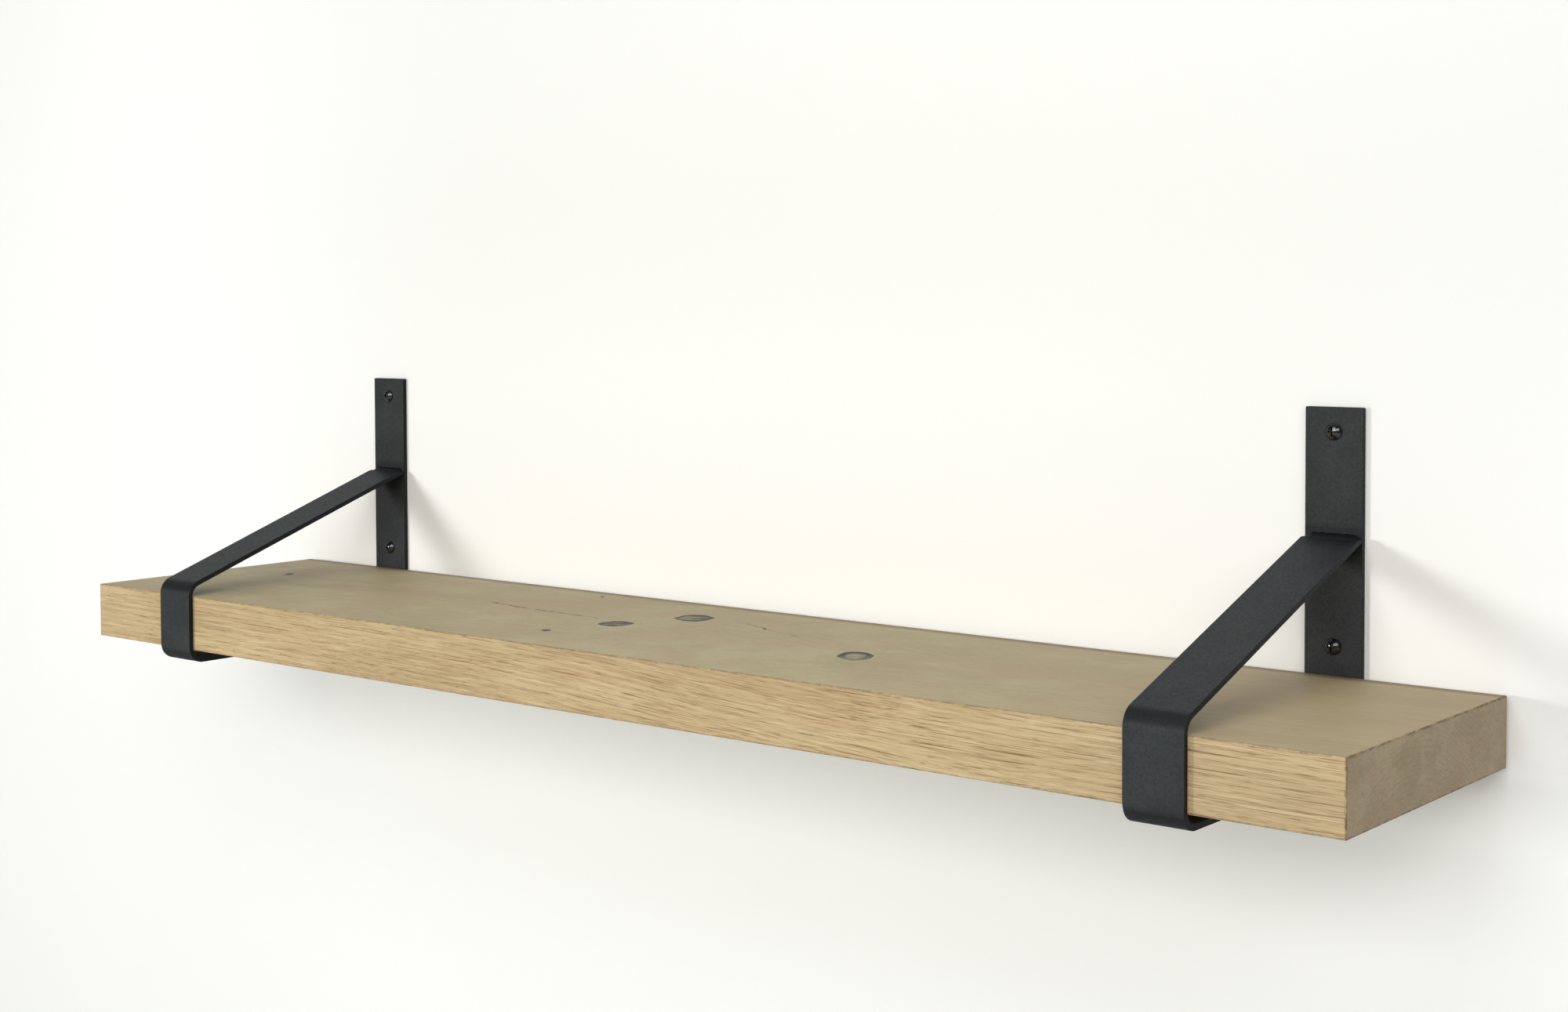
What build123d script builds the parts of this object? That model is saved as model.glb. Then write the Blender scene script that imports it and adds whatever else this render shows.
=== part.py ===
"""Wall shelf: an oak board held in two bent flat-steel brackets.

Millimetres. +X runs right along the wall, +Y runs into the wall and +Z is up. The origin is
on the wall plane, at the centre of the four wall fixings. The wall is the plane y = 0 and the
shelf stands out from it towards -Y.
"""

from build123d import *
import os
from math import atan2, cos, degrees, sin, sqrt, tan

# --- wall fixings -----------------------------------------------------------------------
FIXING_SPACING_X = 930.0
FIXING_SPACING_Z = 140.0

# --- board ------------------------------------------------------------------------------
BOARD_LENGTH = 1160.0
BOARD_DEPTH = 230.0
BOARD_THICKNESS = 45.0
BOARD_ARRIS_RADIUS = 0.5
BOARD_TOP_Z = -89.0

# --- bracket: one bent length of flat bar -----------------------------------------------
BAR_WIDTH = 40.0
BAR_THICKNESS = 4.0
BAR_EDGE_RADIUS = 0.4
BEND_INNER_RADIUS = 9.5
BOARD_SIDE_CLEARANCE = 0.25
SEAT_CLEARANCE = 0.02
STRIP_ABOVE_FIXING = 16.0
STRIP_CORNER_RADIUS = 1.0
STAY_RISE_AT_WALL = 92.3
STAY_RISE_AT_FRONT = 9.5
STAY_ROOT_GAP = 0.3
STAY_FLAT_REACH = 6.5
WALL_SCREW_HOLE_RADIUS = 3.5
BOARD_SCREW_HOLE_RADIUS = 2.5
BOARD_SCREW_OFFSETS = (55.0, 175.0)

# --- weld that closes the bracket -------------------------------------------------------
WELD_LENGTH = 35.0
WELD_LEG_UP = 3.8
WELD_LEG_PAST_FLAT = 0.8
WELD_CROWN = 0.45

# --- screws and plugs -------------------------------------------------------------------
WALL_SCREW_HEAD_RADIUS = 5.5
WALL_SCREW_HEAD_HEIGHT = 3.9
WALL_SCREW_LENGTH = 60.0
BOARD_SCREW_HEAD_RADIUS = 4.5
BOARD_SCREW_HEAD_HEIGHT = 3.2
BOARD_SCREW_LENGTH = 35.0
BOARD_SCREW_PLAIN_LENGTH = 11.0
SCREW_SHANK_RADIUS = 2.25
SCREW_CORE_RADIUS = 1.55
SCREW_PITCH = 2.2
SCREW_POINT_LENGTH = 4.4
THREAD_CREST_SHARE = 0.4
THREAD_FOOT_SHARE = 0.8
HEAD_RIM_HEIGHT = 0.9
RECESS_ARM_LENGTH_SHARE = 1.15
RECESS_ARM_WIDTH = 1.25
RECESS_DEPTH = 2.3
RECESS_TAPER = 9.0
THREAD_CLEARANCE = 0.05
PILOT_OVER_DEPTH = 1.0
PLASTER_THICKNESS = 10.0
PLUG_RADIUS = 4.0
PLUG_LENGTH = 40.0
PLUG_COLLAR_LENGTH = 10.0
PLUG_SLIT_WIDTH = 1.4
PLUG_GROOVE_DEPTH = 0.45
PLUG_GROOVE_PITCH = 3.0
PLUG_GROOVE_STEP = 0.5

# --- how far a cutting shape stands past the piece that it cuts ---------------------------
CUT_OVERRUN = 4.0

# --- worked out from the above ----------------------------------------------------------
BEND_CENTRE_RADIUS = BEND_INNER_RADIUS + BAR_THICKNESS / 2
STRIP_TOP_Z = FIXING_SPACING_Z / 2 + STRIP_ABOVE_FIXING
STRIP_FACE_Y = -BAR_THICKNESS
BOARD_BACK_Y = STRIP_FACE_Y - BOARD_SIDE_CLEARANCE
BOARD_UNDERSIDE_Z = BOARD_TOP_Z - BOARD_THICKNESS
FRONT_INNER_Y = BOARD_BACK_Y - BOARD_DEPTH - BOARD_SIDE_CLEARANCE
FRONT_FACE_Y = FRONT_INNER_Y - BAR_THICKNESS
BRACKETS = {"left": -FIXING_SPACING_X / 2, "right": FIXING_SPACING_X / 2}


def seat_lift():
    """Height of the board's underside above the leg, where its arrises ride on the bends.

    The arris circle touches the bend's inner circle, so the line between their centres is
    as long as the difference of the two radii.
    """
    reach = BEND_INNER_RADIUS - BOARD_ARRIS_RADIUS
    across = reach - BOARD_SIDE_CLEARANCE
    return reach - sqrt(reach**2 - across**2) + SEAT_CLEARANCE


LEG_TOP_Z = BOARD_UNDERSIDE_Z - seat_lift()
LEG_UNDERSIDE_Z = LEG_TOP_Z - BAR_THICKNESS

# The stay is the bar's sloping run. Its top face passes through these two points.
STAY_WALL_POINT = (STRIP_FACE_Y, BOARD_TOP_Z + STAY_RISE_AT_WALL)
STAY_FRONT_POINT = (FRONT_FACE_Y, BOARD_TOP_Z + STAY_RISE_AT_FRONT)
STAY_SLOPE = atan2(
    STAY_WALL_POINT[1] - STAY_FRONT_POINT[1],
    STAY_WALL_POINT[0] - STAY_FRONT_POINT[0],
)


def stay_top_z(y):
    """Height of the stay's top face at a distance from the wall."""
    return STAY_WALL_POINT[1] + (y - STAY_WALL_POINT[0]) * tan(STAY_SLOPE)


def stay_centre_z(y):
    """Height of the stay's middle plane at a distance from the wall."""
    return stay_top_z(y) - BAR_THICKNESS / 2 / cos(STAY_SLOPE)


def stay_end_centre():
    """Middle of the stay's square-cut end, whose lower corner stands just off the strip."""
    corner_to_middle_y = BAR_THICKNESS / 2 * sin(STAY_SLOPE)
    y = STRIP_FACE_Y - STAY_ROOT_GAP - corner_to_middle_y
    return (y, stay_centre_z(y))


def stay_flat_start():
    """Where the level flat, ground on the stay's top for the weld, begins."""
    y = STRIP_FACE_Y - STAY_FLAT_REACH
    return (y, stay_top_z(y))


def make_board():
    """Solid oak board with softened arrises and four pilot holes in its underside."""
    from_top_back_edge = (Align.CENTER, Align.MAX, Align.MAX)
    board = Box(BOARD_LENGTH, BOARD_DEPTH, BOARD_THICKNESS, align=from_top_back_edge)
    board = fillet(board.edges(), BOARD_ARRIS_RADIUS)
    board = Pos(0, BOARD_BACK_Y, BOARD_TOP_Z) * board
    pilot_radius = SCREW_SHANK_RADIUS + THREAD_CLEARANCE
    pilot_depth = BOARD_SCREW_LENGTH - BAR_THICKNESS - seat_lift() + PILOT_OVER_DEPTH
    pilot = Cylinder(pilot_radius, pilot_depth, align=(Align.CENTER, Align.CENTER, Align.MIN))
    for x in BRACKETS.values():
        for offset in BOARD_SCREW_OFFSETS:
            board -= Pos(x, -offset, BOARD_UNDERSIDE_Z) * pilot
    return board


def bar_centreline():
    """Middle line of the bent bar, from the top of the wall strip round to the stay's end."""
    half = BAR_THICKNESS / 2
    front_y = FRONT_FACE_Y + half
    corners = [
        (-half, STRIP_TOP_Z),
        (-half, LEG_UNDERSIDE_Z + half),
        (front_y, LEG_UNDERSIDE_Z + half),
        (front_y, stay_centre_z(front_y)),
        stay_end_centre(),
    ]
    return FilletPolyline(*corners, radius=BEND_CENTRE_RADIUS)


def stay_flat_cut():
    """Block that takes the stay's top corner off level, just short of the wall strip."""
    y, z = stay_flat_start()
    corner = (Align.CENTER, Align.MIN, Align.MIN)
    block = Box(BAR_WIDTH + CUT_OVERRUN, STAY_FLAT_REACH, CUT_OVERRUN, align=corner)
    return Pos(0, y, z) * block


def make_bracket(x):
    """One bracket: wall strip, leg, front upright and stay, in a single bent bar."""
    profile = trace(bar_centreline(), line_width=BAR_THICKNESS)
    # Plane.YZ takes sketch x as +Y and sketch y as +Z, and extrudes along +X.
    bar = extrude(Plane.YZ * profile, amount=BAR_WIDTH / 2, both=True)
    top_corners = bar.edges().filter_by(Axis.Y).group_by(Axis.Z)[-1]
    bar = fillet(top_corners, STRIP_CORNER_RADIUS)
    outlines = bar.faces().filter_by(Axis.X)
    long_edges = [edge for face in outlines for edge in face.edges()]
    bar = fillet(long_edges, BAR_EDGE_RADIUS)
    bar -= stay_flat_cut()
    wall_hole = Rot(90, 0, 0) * Cylinder(WALL_SCREW_HOLE_RADIUS, 2 * BAR_THICKNESS + CUT_OVERRUN)
    for side in (-1, 1):
        bar -= Pos(0, 0, side * FIXING_SPACING_Z / 2) * wall_hole
    board_hole = Cylinder(BOARD_SCREW_HOLE_RADIUS, BAR_THICKNESS + CUT_OVERRUN)
    for offset in BOARD_SCREW_OFFSETS:
        bar -= Pos(0, -offset, LEG_TOP_Z - BAR_THICKNESS / 2) * board_hole
    return Pos(x, 0, 0) * bar


def make_weld(x):
    """Fillet weld that fills the wedge between the stay's ground flat and the strip."""
    end = stay_end_centre()
    half = BAR_THICKNESS / 2
    lower = (end[0] + half * sin(STAY_SLOPE), end[1] - half * cos(STAY_SLOPE))
    flat_y, flat_z = stay_flat_start()
    upper = (lower[0] - (flat_z - lower[1]) * tan(STAY_SLOPE), flat_z)
    toe_y = flat_y - WELD_LEG_PAST_FLAT
    toe = (toe_y, stay_top_z(toe_y))
    root = (STRIP_FACE_Y, lower[1])
    top = (STRIP_FACE_Y, flat_z + WELD_LEG_UP)
    outline = Polyline(top, root, lower, upper, (flat_y, flat_z), toe)
    face = make_face(outline + SagittaArc(toe, top, WELD_CROWN))
    bead = extrude(Plane.YZ * face, amount=WELD_LENGTH / 2, both=True)
    return Pos(x, 0, 0) * bead


def screw_profile(head_radius, head_height, length, plain_length):
    """Half section of a pan-head wood screw, with its head above z = 0 and its point below."""
    shank = [(0.0, -length), (SCREW_CORE_RADIUS, SCREW_POINT_LENGTH - length)]
    z = SCREW_POINT_LENGTH - length
    while z + SCREW_PITCH < -plain_length:
        shank.append((SCREW_SHANK_RADIUS, z + THREAD_CREST_SHARE * SCREW_PITCH))
        shank.append((SCREW_CORE_RADIUS, z + THREAD_FOOT_SHARE * SCREW_PITCH))
        shank.append((SCREW_CORE_RADIUS, z + SCREW_PITCH))
        z += SCREW_PITCH
    shank.append((SCREW_SHANK_RADIUS, -plain_length))
    shank.append((SCREW_SHANK_RADIUS, 0.0))
    shank.append((head_radius, 0.0))
    shank.append((head_radius, HEAD_RIM_HEIGHT))
    axis_line = Line((0.0, head_height), (0.0, -length))
    dome = ThreePointArc(*dome_points(head_radius, head_height))
    return make_face(Polyline(*shank) + dome + axis_line)


def dome_points(head_radius, head_height):
    """Three points of the head's dome, an arc centred on the screw's axis."""
    rise = head_height - HEAD_RIM_HEIGHT
    dome_radius = (head_radius**2 + rise**2) / (2 * rise)
    middle_r = head_radius / 2
    middle_z = head_height - dome_radius + sqrt(dome_radius**2 - middle_r**2)
    return (head_radius, HEAD_RIM_HEIGHT), (middle_r, middle_z), (0.0, head_height)


def make_screw(head_radius, head_height, length, plain_length):
    """Pan-head wood screw, head up, with a cross recess and its thread drawn as rings."""
    section = screw_profile(head_radius, head_height, length, plain_length)
    screw = revolve(Plane.XZ * section, axis=Axis.Z)
    arm = Rectangle(RECESS_ARM_LENGTH_SHARE * head_radius, RECESS_ARM_WIDTH)
    cross = arm + Rot(0, 0, 90) * arm
    recess = extrude(Pos(0, 0, head_height) * cross, amount=-RECESS_DEPTH, taper=RECESS_TAPER)
    return screw - recess


def make_wall_screw(x, z):
    """Screw through the wall strip: its head bears on the strip's face."""
    screw = make_screw(
        WALL_SCREW_HEAD_RADIUS,
        WALL_SCREW_HEAD_HEIGHT,
        WALL_SCREW_LENGTH,
        BAR_THICKNESS + PLASTER_THICKNESS,
    )
    return Pos(x, STRIP_FACE_Y, z) * Rot(90, 0, 0) * screw


def make_board_screw(x, offset):
    """Screw up through the leg into the board: its head bears on the leg's underside."""
    screw = make_screw(
        BOARD_SCREW_HEAD_RADIUS,
        BOARD_SCREW_HEAD_HEIGHT,
        BOARD_SCREW_LENGTH,
        BOARD_SCREW_PLAIN_LENGTH,
    )
    return Pos(x, -offset, LEG_UNDERSIDE_Z) * Rot(180, 0, 0) * screw


def make_wall_plug(x, z):
    """Nylon expansion plug set below the plaster: plain collar, then a slit, grooved barrel."""
    grip_length = PLUG_LENGTH - PLUG_COLLAR_LENGTH
    groove_count = int(grip_length / PLUG_GROOVE_PITCH)
    waist = PLUG_RADIUS - PLUG_GROOVE_DEPTH
    bore_radius = SCREW_SHANK_RADIUS + THREAD_CLEARANCE
    outline = [(bore_radius, 0.0), (PLUG_RADIUS, 0.0), (PLUG_RADIUS, PLUG_COLLAR_LENGTH)]
    for index in range(groove_count):
        start = PLUG_COLLAR_LENGTH + index * PLUG_GROOVE_PITCH
        outline.append((waist, start + PLUG_GROOVE_STEP))
        outline.append((PLUG_RADIUS, start + PLUG_GROOVE_PITCH))
    outline.append((bore_radius, PLUG_COLLAR_LENGTH + groove_count * PLUG_GROOVE_PITCH))
    plug = revolve(Plane.XZ * make_face(Polyline(*outline, close=True)), axis=Axis.Z)
    slit_length = grip_length - 2 * PLUG_GROOVE_PITCH
    slit_reach = slit_length + CUT_OVERRUN
    from_far_end = (Align.CENTER, Align.CENTER, Align.MAX)
    slit = Box(2 * PLUG_RADIUS + CUT_OVERRUN, PLUG_SLIT_WIDTH, slit_reach, align=from_far_end)
    plug -= Pos(0, 0, PLUG_LENGTH + CUT_OVERRUN) * slit
    return Pos(x, PLASTER_THICKNESS, z) * Rot(-90, 0, 0) * plug


def make_parts():
    """Every piece of the shelf by node name, in its assembled place."""
    parts = {"shelf_board": make_board()}
    for side, x in BRACKETS.items():
        parts[f"bracket_{side}"] = make_bracket(x)
        parts[f"weld_{side}"] = make_weld(x)
        for level, z in (("upper", FIXING_SPACING_Z / 2), ("lower", -FIXING_SPACING_Z / 2)):
            parts[f"wall_screw_{side}_{level}"] = make_wall_screw(x, z)
            parts[f"wall_plug_{side}_{level}"] = make_wall_plug(x, z)
        for place, offset in zip(("rear", "front"), BOARD_SCREW_OFFSETS):
            parts[f"board_screw_{side}_{place}"] = make_board_screw(x, offset)
    return parts


def main():
    os.makedirs("parts", exist_ok=True)
    print(f"stay slope {degrees(STAY_SLOPE):.2f} deg, seat lift {seat_lift():.2f} mm")
    for name, shape in make_parts().items():
        piece = shape.solid()
        piece.label = name
        export_step(piece, f"parts/{name}.step")


main()
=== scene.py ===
import math

import bmesh
import bpy
from mathutils import Matrix, Vector, noise


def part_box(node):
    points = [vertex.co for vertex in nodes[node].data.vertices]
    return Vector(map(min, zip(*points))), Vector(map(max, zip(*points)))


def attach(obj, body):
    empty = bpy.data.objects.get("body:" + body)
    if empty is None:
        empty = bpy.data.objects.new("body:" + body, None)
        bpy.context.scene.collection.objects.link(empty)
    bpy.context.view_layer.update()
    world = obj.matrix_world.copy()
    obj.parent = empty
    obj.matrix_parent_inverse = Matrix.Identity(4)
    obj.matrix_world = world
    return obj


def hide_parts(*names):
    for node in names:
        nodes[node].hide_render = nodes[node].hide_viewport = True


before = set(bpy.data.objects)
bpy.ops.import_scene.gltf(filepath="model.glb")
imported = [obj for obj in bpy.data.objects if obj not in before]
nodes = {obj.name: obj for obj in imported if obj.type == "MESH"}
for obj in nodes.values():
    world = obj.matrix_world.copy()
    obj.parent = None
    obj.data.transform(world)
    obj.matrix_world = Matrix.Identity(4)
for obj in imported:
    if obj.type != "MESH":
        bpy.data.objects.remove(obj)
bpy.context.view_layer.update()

MM = 0.001
BODY = "root"

# --- the object's own measures: the board's box in metres, and the stays' slope -----------
board_low, board_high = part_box("shelf_board")
STAY_SLOPE = math.radians(19.45)
SIDES = ("left", "right")
LEVELS = ("upper", "lower")
PLACES = ("rear", "front")


# --- node building -----------------------------------------------------------------------
# where a colour Mix node keeps its colours, among its inputs and outputs
MIX_COLOUR_A = 6
MIX_COLOUR_B = 7
MIX_COLOUR_RESULT = 2


class Graph:
    """A material's node tree, with short calls for the nodes that the materials share."""

    def __init__(self, name):
        self.material = bpy.data.materials.new(name)
        self.material.use_nodes = True
        self.tree = self.material.node_tree
        self.tree.nodes.clear()
        self.output = self.node("ShaderNodeOutputMaterial")
        self.shader = self.node("ShaderNodeBsdfPrincipled")
        self.tree.links.new(self.shader.outputs["BSDF"], self.output.inputs["Surface"])

    def node(self, kind, **settings):
        made = self.tree.nodes.new(kind)
        for key, value in settings.items():
            setattr(made, key, value)
        return made

    def feed(self, socket, value):
        if isinstance(value, bpy.types.NodeSocket):
            self.tree.links.new(value, socket)
        elif value is not None:
            socket.default_value = value

    def set(self, name, value):
        self.feed(self.shader.inputs[name], value)

    def math(self, operation, a, b=None, c=None):
        made = self.node("ShaderNodeMath", operation=operation)
        for socket, value in zip(made.inputs, (a, b, c)):
            self.feed(socket, value)
        return made.outputs[0]

    def add(self, *values):
        total = values[0]
        for value in values[1:]:
            total = self.math("ADD", total, value)
        return total

    def times(self, *values):
        total = values[0]
        for value in values[1:]:
            total = self.math("MULTIPLY", total, value)
        return total

    def less(self, a, b):
        return self.math("SUBTRACT", a, b)

    def highest(self, *values):
        total = values[0]
        for value in values[1:]:
            total = self.math("MAXIMUM", total, value)
        return total

    def hypot(self, *values):
        return self.math("SQRT", self.add(*[self.times(value, value) for value in values]))

    def step(self, value, low, high, at_low=0.0, at_high=1.0):
        """Smooth change from at_low to at_high as value goes from low to high."""
        made = self.node("ShaderNodeMapRange", interpolation_type="SMOOTHSTEP")
        for socket, item in zip(made.inputs, (value, low, high, at_low, at_high)):
            self.feed(socket, item)
        return made.outputs[0]

    def mix(self, factor, a, b):
        """Colour that goes from a to b as factor goes from 0 to 1."""
        made = self.node("ShaderNodeMix", data_type="RGBA")
        made.clamp_factor = True
        self.feed(made.inputs["Factor"], factor)
        self.feed(made.inputs[MIX_COLOUR_A], a)
        self.feed(made.inputs[MIX_COLOUR_B], b)
        return made.outputs[MIX_COLOUR_RESULT]

    def vector(self, x, y, z):
        made = self.node("ShaderNodeCombineXYZ")
        for socket, value in zip(made.inputs, (x, y, z)):
            self.feed(socket, value)
        return made.outputs[0]

    def split(self, vector):
        made = self.node("ShaderNodeSeparateXYZ")
        self.feed(made.inputs[0], vector)
        return made.outputs[0], made.outputs[1], made.outputs[2]

    def noise(self, vector, scale=1.0, detail=2.0, roughness=0.5):
        made = self.node("ShaderNodeTexNoise", noise_dimensions="3D")
        self.feed(made.inputs["Vector"], vector)
        for name, value in (("Scale", scale), ("Detail", detail), ("Roughness", roughness)):
            made.inputs[name].default_value = value
        return made.outputs["Fac"]

    def cells(self, vector, scale):
        made = self.node("ShaderNodeTexVoronoi", feature="F1")
        self.feed(made.inputs["Vector"], vector)
        made.inputs["Scale"].default_value = scale
        return made.outputs["Distance"]

    def millimetres(self):
        """Object coordinates in millimetres: x, y, z and the whole vector."""
        place = self.node("ShaderNodeTexCoord").outputs["Object"]
        scaled = self.node("ShaderNodeVectorMath", operation="SCALE")
        self.feed(scaled.inputs[0], place)
        scaled.inputs["Scale"].default_value = 1000.0
        return (*self.split(scaled.outputs[0]), scaled.outputs[0])

    def facing(self):
        """Size of the object-space normal along x, y and z, and the signed z."""
        normal = self.node("ShaderNodeTexCoord").outputs["Normal"]
        x, y, z = self.split(normal)
        return self.math("ABSOLUTE", x), self.math("ABSOLUTE", y), self.math("ABSOLUTE", z), z

    def bump(self, height, strength, distance):
        made = self.node("ShaderNodeBump")
        made.inputs["Strength"].default_value = strength
        made.inputs["Distance"].default_value = distance
        self.feed(made.inputs["Height"], height)
        self.set("Normal", made.outputs["Normal"])


def srgb(red, green, blue):
    """Linear colour from 0..255 sRGB values, as a display shows them."""
    linear = []
    for value in (red, green, blue):
        share = value / 255.0
        linear.append(share / 12.92 if share <= 0.04045 else ((share + 0.055) / 1.055) ** 2.4)
    return (*linear, 1.0)


# --- oak ---------------------------------------------------------------------------------
PITH = (-150.0, -196.0)  # centre of the growth rings, y and z in mm
RING_WIDTH = 3.1  # mm
RING_UNEVENNESS = 7.0  # mm
RING_UNEVENNESS_SIZE = 11.0  # over how much radius the rings' width changes, in mm
TAPER = 0.014  # growth of the rings' radius along the board
# parts of a ring over which its porous early wood sets in, and over which it fades
EARLY_START = (0.0, 0.12)
EARLY_FADE = (0.25, 0.75, 1.0, 0.0)
# sizes of a normal's part between which one face's look gives way to another's
FACING_RANGE = (0.55, 0.85)

# fibre noises: size along, into and up the board in mm, detail and roughness
BROAD_GRAIN = (150.0, 9.0, 7.0, 2.0, 0.5)
PALE_STREAKS = (62.0, 1.4, 0.75, 2.0, 0.55)
FINE_GRAIN = (42.0, 0.9, 0.50, 2.0, 0.6)
DASHES = (48.0, 1.1, 0.55, 1.5, 0.5)
PORES = (10.0, 0.6, 0.40, 1.0, 0.5)
# clouded noises: size along, into and up the board in mm
WANDER_SIZE = (380.0, 90.0, 90.0)
TONE_SIZE = (210.0, 55.0, 38.0)
FLUSH_SIZE = (150.0, 30.0, 18.0)
PATCH_SIZE = (50.0, 48.0, 60.0)
BLOOM_SIZE = (64.0, 60.0, 60.0)
BLUSH_SIZE = (110.0, 34.0, 60.0)
SAW_SIZE = (3.0, 5.0, 2.2)
MOTTLE_SIZE = (20.0, 42.0, 24.0)
# even noises: scale per mm, detail and roughness
DOTS_NOISE = (1.1, 2.0, 0.65)
KNOT_RIM_NOISE = (0.13, 3.0, 0.6)
CRACK_NOISE = (0.16, 2.0)
FRAY_NOISE = (0.35, 4.0, 0.65)
ARRIS_NOISE = (0.12, 3.0, 0.6)

# places along the board in mm between which its look changes, and how strong it is at each
DIP_RANGE = (-170.0, 400.0)
LEFT_END_RANGE = (-520.0, -488.0, 0.16, 0.0)
RIGHT_END_RANGE = (330.0, 500.0, 0.0, 0.22)
DASHED_RANGE = (-250.0, 350.0, 0.60, 0.88)
ROSE_RANGE = (260.0, 480.0, 0.0, 0.62)
GRAIN_DIP = 24.0  # how far the front's grain dips over its range, in mm
GRAIN_WANDER = 20.0  # mm up and down
WANDER_INTO = 1.4  # how much more the grain wanders into the board than up and down
# distances in mm from the top's back edge between which its dark border sets in
BACK_BORDER = (13.0, 4.0)
BACK_BORDER_STRENGTH = 0.6

# from which to which value of a noise a colour comes in, and how strong it is at each
DASH_STEP = (0.55, 0.71)
PORE_STEP = (0.58, 0.68)
FRONT_TONE_STEP = (0.30, 0.72)
FRONT_FLUSH_STEP = (0.46, 0.66, 0.0, 0.4)
FRONT_BROAD_STEP = (0.38, 0.66, 0.0, 0.5)
FRONT_PALE_STEP = (0.51, 0.68, 0.0, 0.55)
FRONT_FINE_STEP = (0.52, 0.72, 0.0, 0.42)
TOP_PATCH_STEP = (0.32, 0.68)
TOP_BLOOM_STEP = (0.44, 0.62, 0.0, 0.75)
TOP_TONE_STEP = (0.50, 0.80, 0.0, 0.28)
TOP_FINE_STEP = (0.48, 0.74, 0.0, 0.13)
END_MOTTLE_STEP = (0.36, 0.66)
END_BLUSH_STEP = (0.42, 0.62, 0.0, 0.6)
END_SAW_STEP = (0.45, 0.75, 0.0, 0.22)
END_DOTS_STEP = (0.50, 0.68, 0.0, 0.55)
# how much of the dashes and of the pores is there only in early wood
DASHES_EARLY = 0.3
PORES_EARLY = 0.7
# how strongly early wood, dashes and pores darken each face
FRONT_EARLY = 0.10
FRONT_PORES = 0.45
TOP_EARLY = 0.06
TOP_DASHES = 0.10
TOP_PORES = 0.18
END_EARLY = 0.09

FRONT_LIGHT = srgb(201, 178, 135)
FRONT_PALE = srgb(215, 195, 156)
FRONT_MID = srgb(181, 157, 115)
FRONT_WARM = srgb(184, 151, 109)
FRONT_DARK = srgb(114, 82, 44)
TOP_LIGHT = srgb(193, 180, 139)
TOP_MID = srgb(182, 168, 127)
TOP_DARK = srgb(146, 128, 94)
TOP_ROSE = srgb(187, 166, 129)
END_LIGHT = srgb(186, 169, 137)
END_MID = srgb(168, 152, 120)
END_DARK = srgb(130, 114, 85)
END_ROSE = srgb(176, 153, 126)
ARRIS_TONE = srgb(112, 84, 54)
KNOT_RIM = srgb(46, 40, 29)
KNOT_HEART = srgb(130, 118, 92)
CRACK_TONE = srgb(66, 55, 38)

ARRIS_STRENGTHS = (0.5, 0.85)  # how dark the long edges and the end edges are
ARRIS_WIDTH = (0.3, 1.5, 1.0, 0.0)  # mm from the edge over which its tone ends
ARRIS_FRAY = 3.0  # mm
ARRIS_BREAKS = (0.34, 0.58, 0.25, 1.0)

# a knot's parts, as distances from its centre where 1 is its rim
SWIRL_SIZE = 9.0  # how far the grain parts at a knot, in mm
SWIRL_FADE = (0.8, 3.6, SWIRL_SIZE, 0.0)
KNOT_RAGGEDNESS = 0.34
KNOT_EDGE = (0.95, 1.01, 1.0, 0.0)
KNOT_HALO_START = (1.0, 1.10)
KNOT_HALO_END = (1.12, 1.35, 1.0, 0.0)
KNOT_HALO_STRENGTH = 0.5
KNOT_RING_START = 0.66
KNOT_RING_EARLIER = 0.26  # how much further in the ring of a pale knot starts
KNOT_RING_BLEND = 0.2
KNOT_RING_STRENGTH = 0.9
KNOT_RING_DEPTH = 0.8
KNOT_FAR_SIDE = (-0.8, 0.4, 0.55, 1.0)  # the ring is paler on the far side
KNOT_STREAKS = (0.9, 3.4)  # how dense the heart's streaks are along and across
KNOT_STREAK_STEP = (0.45, 0.55)
KNOT_STREAK_STRENGTHS = (0.9, 0.5)  # of a dark knot, and how much less of a pale one
KNOT_HEART_PALENESS = 0.8
PIN_KNOT_EDGE = (0.7, 1.1, 1.0, 0.0)
PIN_KNOT_STRENGTH = 0.85

CRACK_JITTER = 7.0  # mm
CRACK_WIDTH = (0.7, 2.4, 1.0, 0.0)  # mm from its middle over which a crack ends
CRACK_BREAK_SIZE = (16.0, 40.0)  # mm along and across
CRACK_BREAKS = (0.36, 0.58, 0.25, 1.0)

OAK_SPECULAR = 0.30
OAK_ROUGHNESS = (0.3, 0.9, 0.52, 0.74)
OAK_PORE_ROUGHNESS = 0.4
# how high or deep each part of the oak's relief is
RELIEF_PORES = -0.8
RELIEF_DASHES = -0.6
RELIEF_FINE = -0.35
RELIEF_EARLY = -0.25
RELIEF_MARKS = -1.6
RELIEF_END_DOTS = 0.9
OAK_BUMP = (0.55, 0.18 * MM)  # strength and distance

# knots on the top: centre x and y in mm; turn in degrees; radii along and across in mm; how pale
# the heart is; how pointed the ends are
KNOTS = (
    (-61.0, -127.0, 43.7, 14.6, 13.2, 0.15, 0.75),
    (-33.0, -68.5, 41.6, 16.4, 18.5, 0.35, 1.0),
    (173.5, -133.5, 37.3, 12.8, 19.5, 1.0, 0.25),
)
# fine drying cracks on the top: points along each, x and y in mm, and how dark it is
CRACKS = (
    ((-225.0, -103.0), (-178.0, -110.0), (-145.0, -112.5), (-93.0, -114.0), 0.6),
    ((-2.0, -57.0), (22.0, -66.5), (46.0, -77.0), (90.0, -92.0), 0.3),
)
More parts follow.
